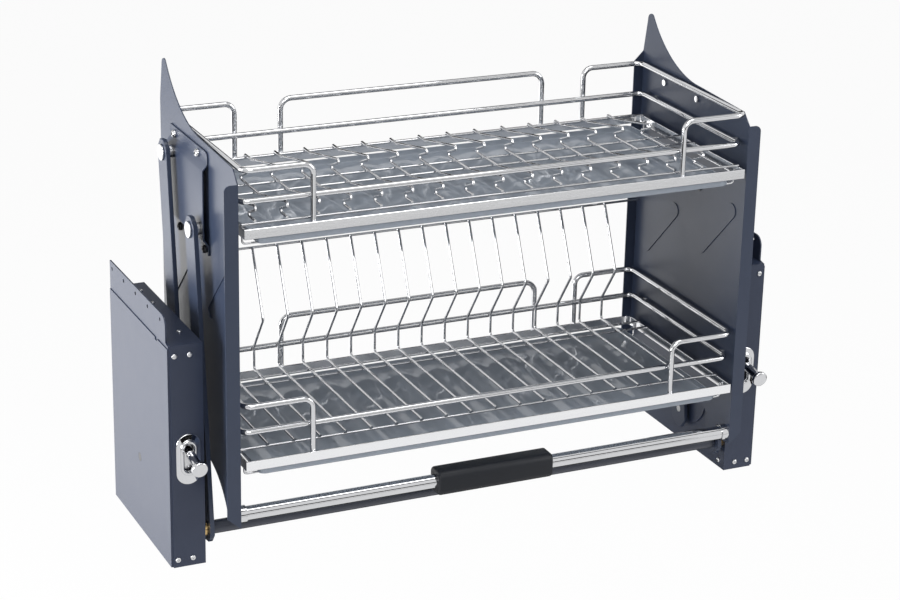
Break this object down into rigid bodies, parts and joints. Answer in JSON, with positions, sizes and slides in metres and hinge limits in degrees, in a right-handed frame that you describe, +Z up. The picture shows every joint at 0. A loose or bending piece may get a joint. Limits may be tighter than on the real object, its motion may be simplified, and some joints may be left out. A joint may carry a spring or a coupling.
{
  "type": "pull-down dish rack",
  "caption": "Pull-down dish rack for a wall cabinet: bowl and plate baskets between side panels on swinging arms, with spring boxes, drip trays and a pull handle.",
  "frame": {"origin": "middle of the bounding box's bottom face, level with the bottoms of the spring boxes", "axes": "+X to the right seen from the front, +Y to the cabinet's back wall, +Z up"},
  "size_m": [0.864, 0.301, 0.6125],
  "materials": {
    "box_paint": "satin graphite powder coat",
    "panel_paint": "satin graphite powder coat",
    "arm_paint": "satin graphite powder coat",
    "chrome_plate": "polished chrome plate",
    "bright_steel": "bright zinc plate",
    "black_fixings": "black oxide",
    "bush_brass": "turned brass",
    "black_rubber": "matt black rubber",
    "clear_tray": "clear rippled plastic"
  },
  "bodies": {
    "root": {"left_case": "box_paint", "right_case": "box_paint", "left_mount_plate": "box_paint", "right_mount_plate": "box_paint", "left_cover": "box_paint", "right_cover": "box_paint", "cover_plugs": "black_fixings", "case_screws": "bright_steel", "adjuster_plates": "chrome_plate", "left_balance_springs": "bright_steel", "right_balance_springs": "bright_steel", "front_bushes": "bush_brass", "rear_bushes": "bush_brass", "stop_buffers": "black_rubber"},
    "left_adjuster": {"left_adjuster_slider": "bright_steel", "left_adjuster_knob": "chrome_plate"},
    "right_adjuster": {"right_adjuster_slider": "bright_steel", "right_adjuster_knob": "chrome_plate"},
    "front_arms": {"left_front_arm": "arm_paint", "right_front_arm": "arm_paint", "cross_tube": "chrome_plate", "front_pivot_journals": "bright_steel"},
    "left_rear_arm": {"left_rear_arm": "arm_paint", "left_rear_pivot_pin": "bright_steel", "left_crank_pin": "bright_steel"},
    "right_rear_arm": {"right_rear_arm": "arm_paint", "right_rear_pivot_pin": "bright_steel", "right_crank_pin": "bright_steel"},
    "carriage": {"left_panel": "panel_paint", "right_panel": "panel_paint", "left_bracket": "panel_paint", "right_bracket": "panel_paint", "bracket_screws": "chrome_plate", "bracket_bolts": "black_fixings", "upper_pivot_pins": "chrome_plate", "pivot_spacers": "bright_steel", "upper_basket_frame": "chrome_plate", "upper_basket_rails": "chrome_plate", "upper_floor_rods": "chrome_plate", "bowl_wires": "chrome_plate", "upper_tray_hangers": "chrome_plate", "lower_basket_frame": "chrome_plate", "lower_basket_rails": "chrome_plate", "lower_floor_rods": "chrome_plate", "plate_wires": "chrome_plate", "plate_top_rod": "chrome_plate", "lower_tray_hangers": "chrome_plate", "basket_studs": "chrome_plate", "handle_tube": "chrome_plate", "handle_collars": "chrome_plate", "handle_screws": "bright_steel", "handle_grip": "black_rubber"},
    "upper_tray": {"upper_tray": "clear_tray"},
    "lower_tray": {"lower_tray": "clear_tray"}
  },
  "joints": [
    {"name": "rack_swing", "type": "hinge", "parent": "root", "child": "front_arms", "pos_m": [0, -0.0745, 0.041], "axis": [1, 0, 0], "range_deg": [0, 105]},
    {"name": "carriage_level", "type": "hinge", "parent": "front_arms", "child": "carriage", "pos_m": [0, -0.02648, 0.43206], "axis": [1, 0, 0], "range_deg": [-105, 0]},
    {"name": "left_rear_swing", "type": "hinge", "parent": "root", "child": "left_rear_arm", "pos_m": [-0.37635, 0.0295, 0.1125], "axis": [1, 0, 0], "range_deg": [0, 105], "deforming": ["left_balance_springs"]},
    {"name": "right_rear_swing", "type": "hinge", "parent": "root", "child": "right_rear_arm", "pos_m": [0.37635, 0.0295, 0.1125], "axis": [1, 0, 0], "range_deg": [0, 105], "deforming": ["right_balance_springs"]},
    {"name": "left_spring_adjust", "type": "slide", "parent": "root", "child": "left_adjuster", "axis": [0, 0, -1], "range_m": [0, 0.018]},
    {"name": "right_spring_adjust", "type": "slide", "parent": "root", "child": "right_adjuster", "axis": [0, 0, -1], "range_m": [0, 0.018]},
    {"name": "upper_tray_pull", "type": "slide", "parent": "carriage", "child": "upper_tray", "axis": [0, -1, 0], "range_m": [0, 0.25]},
    {"name": "lower_tray_pull", "type": "slide", "parent": "carriage", "child": "lower_tray", "axis": [0, -1, 0], "range_m": [0, 0.25]}
  ],
  "couplings": [
    {"joint": "carriage_level", "follows": "rack_swing", "ratio": -1},
    {"joint": "left_rear_swing", "follows": "rack_swing", "ratio": 1},
    {"joint": "right_rear_swing", "follows": "rack_swing", "ratio": 1}
  ]
}
